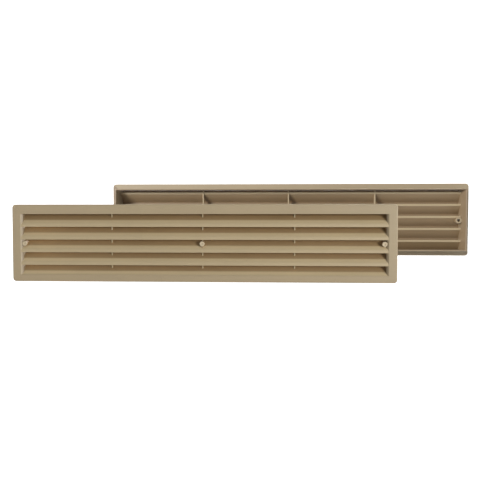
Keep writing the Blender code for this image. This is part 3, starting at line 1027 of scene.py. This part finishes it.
def white_for_camera(tree, shader_out, strength):
    """The shader as the lamps light it, with an even white added for what the camera, mirrors and
    glass see directly, so that the floor is white and still darker in the object's shadow."""
    glow = tree.nodes.new("ShaderNodeEmission")
    glow.inputs["Color"].default_value = (1, 1, 1, 1)
    level = remapped(tree, seen_directly(tree), 0, 1, 0, strength)
    tree.links.new(level, glow.inputs["Strength"])
    both = tree.nodes.new("ShaderNodeAddShader")
    tree.links.new(shader_out, both.inputs[0])
    tree.links.new(glow.outputs[0], both.inputs[1])
    return both.outputs[0]


def floor_material():
    """Matt grey that lights the object a little, and looks white."""
    grey, glow = 0.5, 0.85
    made, tree, _ = new_material("pale_floor")
    tree.nodes.clear()
    diffuse = tree.nodes.new("ShaderNodeBsdfDiffuse")
    diffuse.inputs["Color"].default_value = (grey, grey, grey, 1)
    output = tree.nodes.new("ShaderNodeOutputMaterial")
    tree.links.new(white_for_camera(tree, diffuse.outputs[0], glow), output.inputs["Surface"])
    return made


def studio_world(strength):
    """Even light of that strength from all round, which looks plain white."""
    world = bpy.data.worlds.new("studio")
    world.use_nodes = True
    tree = world.node_tree
    tree.nodes.clear()
    level = remapped(tree, seen_directly(tree), 0, 1, strength, 1.0)
    background = tree.nodes.new("ShaderNodeBackground")
    background.inputs["Color"].default_value = (1, 1, 1, 1)
    tree.links.new(level, background.inputs["Strength"])
    output = tree.nodes.new("ShaderNodeOutputWorld")
    tree.links.new(background.outputs[0], output.inputs["Surface"])
    return world


def area_lamp(name, towards, place, width, height, energy):
    """An oblong lamp at a place (side, rise, distance) from the point it looks at: turned from
    the camera's side to the right, lifted above the level, and that far away."""
    data = bpy.data.lights.new(name, "AREA")
    data.shape = "RECTANGLE"
    data.size = width
    data.size_y = height
    data.energy = energy
    lamp = bpy.data.objects.new(name, data)
    bpy.context.scene.collection.objects.link(lamp)
    side, rise, distance = place
    lamp.location = np.array(towards) + distance * np.array([
        math.sin(side) * math.cos(rise), -math.cos(side) * math.cos(rise), math.sin(rise)
    ])
    lamp.rotation_euler = (math.pi / 2 - rise, 0.0, side)
    return lamp


class GRILLE_OT_stage(bpy.types.Operator):
    """Builds the floor and backdrop, the lamps and the camera"""

    bl_idname = "grille.stage"
    bl_label = "Studio"

    def execute(self, context):
        scene = context.scene
        stage = scene.grille_stage
        centre = np.array([(CAD_LOW[k] + CAD_HIGH[k]) / 2 for k in range(3)])
        reach, back, bend, top, below = 4.0, 0.9, 0.7, 3.0, 0.0005
        outline = np.concatenate([
            [(-reach, 0.0), (back, 0.0)],
            arc((back, bend), bend, -90, 0, 12)[1:],
            [(back + bend, top)],
        ])
        points = np.empty((2, len(outline), 3))
        points[..., 0] = np.array([-reach, reach])[:, None] + centre[0]
        points[..., 1] = outline[None, :, 0] + centre[1]
        points[..., 2] = outline[None, :, 1] + CAD_LOW.z - below
        mesh = bpy.data.meshes.new("floor")
        mesh.from_pydata(points.reshape(-1, 3).tolist(), [], grid_faces(2, len(outline)))
        mesh.shade_smooth()
        mesh.materials.append(floor_material())
        floor = bpy.data.objects.new("floor", mesh)
        scene.collection.objects.link(floor)

        for half, other, side, rise, energy in (
            ("front", "rear", stage.front_side, stage.front_rise, stage.front_lamp),
            ("rear", "front", -stage.rear_side, stage.rear_rise, stage.rear_lamp),
        ):
            lamp = area_lamp(
                half + "_lamp", centre, (side, rise, stage.lamp_distance), stage.lamp_width,
                stage.lamp_height, energy
            )
            lit = bpy.data.collections.new(half + "_lit")
            for obj in scene.objects:
                if obj.type == "MESH" and not obj.name.startswith(other):
                    lit.objects.link(obj)
            lamp.light_linking.receiver_collection = lit
            lamp.light_linking.blocker_collection = lit
        area_lamp(
            "back_lamp", centre, (stage.back_side, stage.back_rise, stage.back_distance),
            stage.back_width, stage.back_height, stage.back_lamp
        )
        scene.world = studio_world(stage.sky)

        data = bpy.data.cameras.new("camera")
        data.lens = stage.lens
        data.sensor_width = 36.0
        data.clip_start = 0.01
        camera = bpy.data.objects.new("camera", data)
        x, y, z, _ = half_place("front")
        camera.location = (x + stage.aside, y - stage.distance, z + stage.above)
        camera.rotation_euler = (math.pi / 2 - stage.dip, 0, stage.turn)
        scene.collection.objects.link(camera)
        scene.camera = camera
        scene.view_settings.view_transform = "Standard"
        return {"FINISHED"}


class GRILLE_PT_panel(bpy.types.Panel):
    """Lists the grille's sizes, finishes and build steps"""

    bl_idname = "GRILLE_PT_panel"
    bl_label = "Door Grille"
    bl_space_type = "VIEW_3D"
    bl_region_type = "UI"
    bl_category = "Grille"

    def draw(self, context):
        layout = self.layout
        for operator in OPERATORS:
            layout.operator(operator.bl_idname)
        for key in GROUPS:
            box = layout.box()
            group = getattr(context.scene, key)
            for name in group.__annotations__:
                box.prop(group, name)


OPERATORS = (
    GRILLE_OT_frames,
    GRILLE_OT_louvres,
    GRILLE_OT_ribs,
    GRILLE_OT_posts,
    GRILLE_OT_screws,
    GRILLE_OT_stage,
)
GROUPS = {
    "grille_frame": GrilleFrameSizes,
    "grille_louvre": GrilleLouvreSizes,
    "grille_screw": GrilleScrewSizes,
    "grille_finish": GrilleFinish,
    "grille_stage": GrilleStage,
}


def register():
    for group in GROUPS.values():
        bpy.utils.register_class(group)
    for name, group in GROUPS.items():
        setattr(bpy.types.Scene, name, bpy.props.PointerProperty(type=group))
    for operator in OPERATORS:
        bpy.utils.register_class(operator)
    bpy.utils.register_class(GRILLE_PT_panel)


def unregister():
    bpy.utils.unregister_class(GRILLE_PT_panel)
    for operator in reversed(OPERATORS):
        bpy.utils.unregister_class(operator)
    for name, group in GROUPS.items():
        delattr(bpy.types.Scene, name)
        bpy.utils.unregister_class(group)


def main():
    register()
    bpy.ops.grille.frames()
    bpy.ops.grille.louvres()
    bpy.ops.grille.ribs()
    bpy.ops.grille.posts()
    bpy.ops.grille.screws()
    bpy.ops.grille.stage()


if __name__ == "__main__":
    main()
